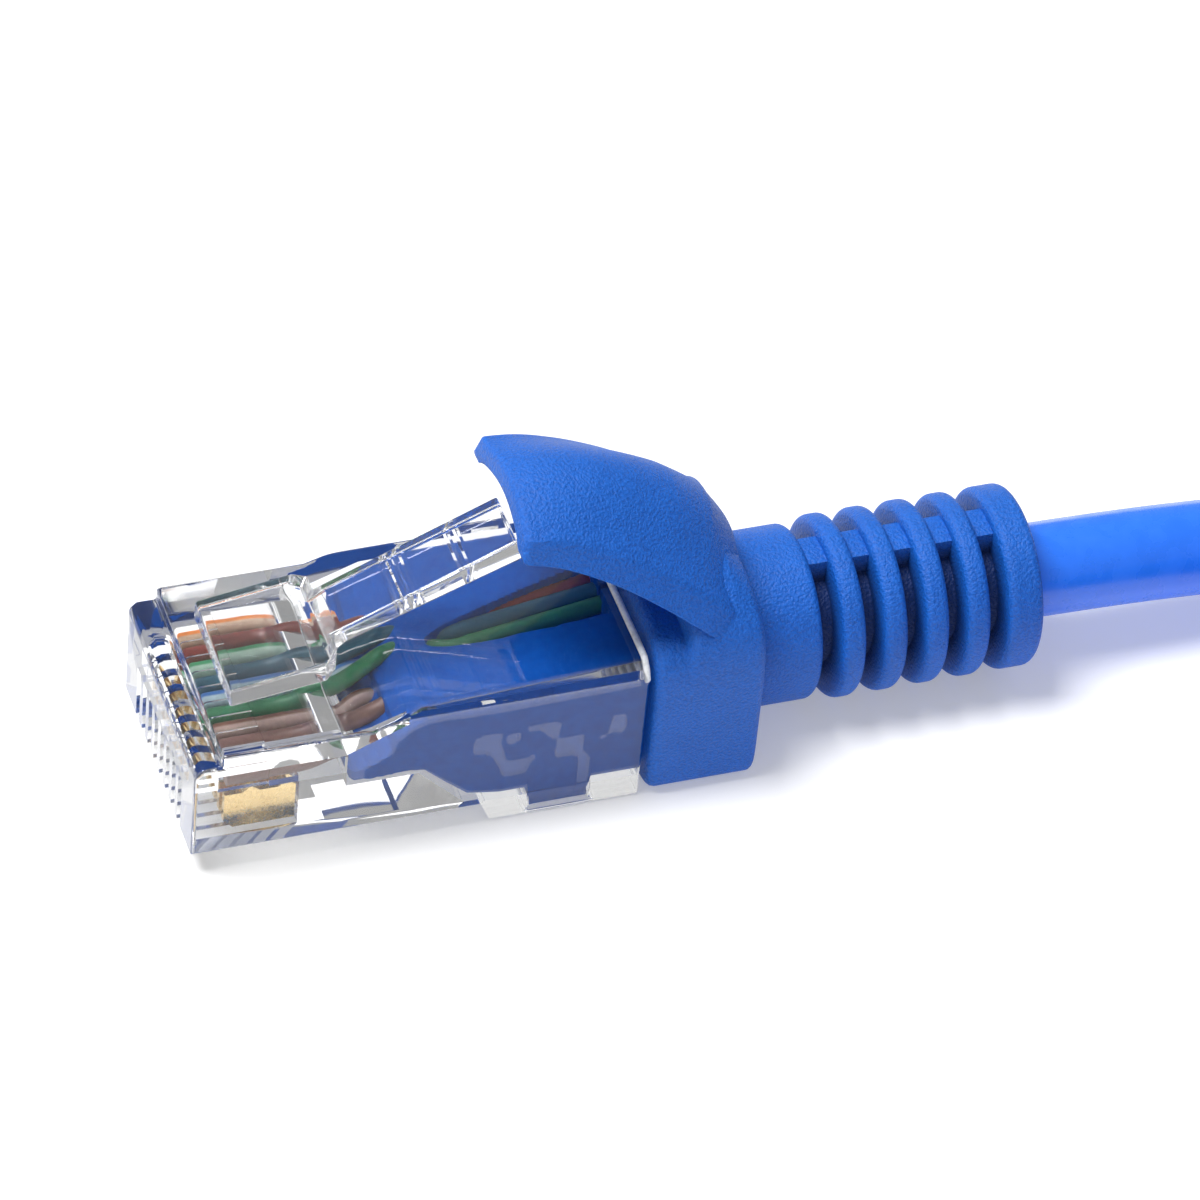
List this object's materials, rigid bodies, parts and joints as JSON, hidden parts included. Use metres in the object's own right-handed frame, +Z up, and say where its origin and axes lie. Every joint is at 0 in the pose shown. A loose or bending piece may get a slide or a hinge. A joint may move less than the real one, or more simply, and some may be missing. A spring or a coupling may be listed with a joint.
{
  "type": "ethernet patch cable",
  "caption": "Patch cable with clear modular plugs and ribbed snagless boots on both ends of a round blue cable, coiled and tied.",
  "frame": {"origin": "on the floor, under the middle of the near plug and its boot", "axes": "+X from the near plug's nose towards its cable, +Y across the plug, +Z up with the latch on top"},
  "size_m": [0.1109, 0.0717, 0.0256],
  "materials": {
    "clear_polycarbonate": "clear, polished moulding with faint flow lines",
    "gold_contact": "gold plated, bright",
    "boot_pvc": "fine matte grain",
    "cable_pvc": "smooth satin gloss",
    "wire_white_orange": "satin",
    "wire_orange": "satin",
    "wire_white_green": "satin",
    "wire_blue": "satin",
    "wire_white_blue": "satin",
    "wire_green": "satin",
    "wire_white_brown": "satin",
    "wire_brown": "satin",
    "tie_cloth": "woven hook and loop strap"
  },
  "bodies": {
    "root": {"plug_housing_a": "clear_polycarbonate", "contact_a_1": "gold_contact", "contact_a_2": "gold_contact", "contact_a_3": "gold_contact", "contact_a_4": "gold_contact", "contact_a_5": "gold_contact", "contact_a_6": "gold_contact", "contact_a_7": "gold_contact", "contact_a_8": "gold_contact", "conductor_a_1": "wire_white_orange", "conductor_a_2": "wire_orange", "conductor_a_3": "wire_white_green", "conductor_a_4": "wire_blue", "conductor_a_5": "wire_white_blue", "conductor_a_6": "wire_green", "conductor_a_7": "wire_white_brown", "conductor_a_8": "wire_brown", "crimped_jacket_a": "cable_pvc", "boot_a": "boot_pvc", "plug_housing_b": "clear_polycarbonate", "contact_b_1": "gold_contact", "contact_b_2": "gold_contact", "contact_b_3": "gold_contact", "contact_b_4": "gold_contact", "contact_b_5": "gold_contact", "contact_b_6": "gold_contact", "contact_b_7": "gold_contact", "contact_b_8": "gold_contact", "conductor_b_1": "wire_white_orange", "conductor_b_2": "wire_orange", "conductor_b_3": "wire_white_green", "conductor_b_4": "wire_blue", "conductor_b_5": "wire_white_blue", "conductor_b_6": "wire_green", "conductor_b_7": "wire_white_brown", "conductor_b_8": "wire_brown", "crimped_jacket_b": "cable_pvc", "boot_b": "boot_pvc", "cord_run": "cable_pvc", "cord_coil": "cable_pvc", "cord_tail": "cable_pvc", "cord_tie": "tie_cloth"},
    "latch_a": {"latch_tab_a": "clear_polycarbonate"},
    "hood_a": {"boot_hood_a": "boot_pvc"},
    "latch_b": {"latch_tab_b": "clear_polycarbonate"},
    "hood_b": {"boot_hood_b": "boot_pvc"}
  },
  "joints": [
    {"name": "hood_press_a", "type": "hinge", "parent": "root", "child": "hood_a", "pos_m": [0.00257, 0, 0.01205], "axis": [0, -1, 0], "range_deg": [0, 20], "stiffness_Nm_per_rad": 0.03},
    {"name": "latch_press_a", "type": "hinge", "parent": "root", "child": "latch_a", "pos_m": [-0.01843, 0, 0.0074], "axis": [0, 1, 0], "range_deg": [0, 11], "stiffness_Nm_per_rad": 0.02},
    {"name": "hood_press_b", "type": "hinge", "parent": "root", "child": "hood_b", "pos_m": [0.07304, -0.04197, 0.02192], "axis": [1, 0, 0], "range_deg": [0, 20], "stiffness_Nm_per_rad": 0.03},
    {"name": "latch_press_b", "type": "hinge", "parent": "root", "child": "latch_b", "pos_m": [0.07304, -0.06297, 0.01727], "axis": [-1, 0, 0], "range_deg": [0, 11], "stiffness_Nm_per_rad": 0.02}
  ],
  "couplings": [
    {"joint": "latch_press_a", "follows": "hood_press_a", "ratio": 0.55},
    {"joint": "latch_press_b", "follows": "hood_press_b", "ratio": 0.55}
  ]
}
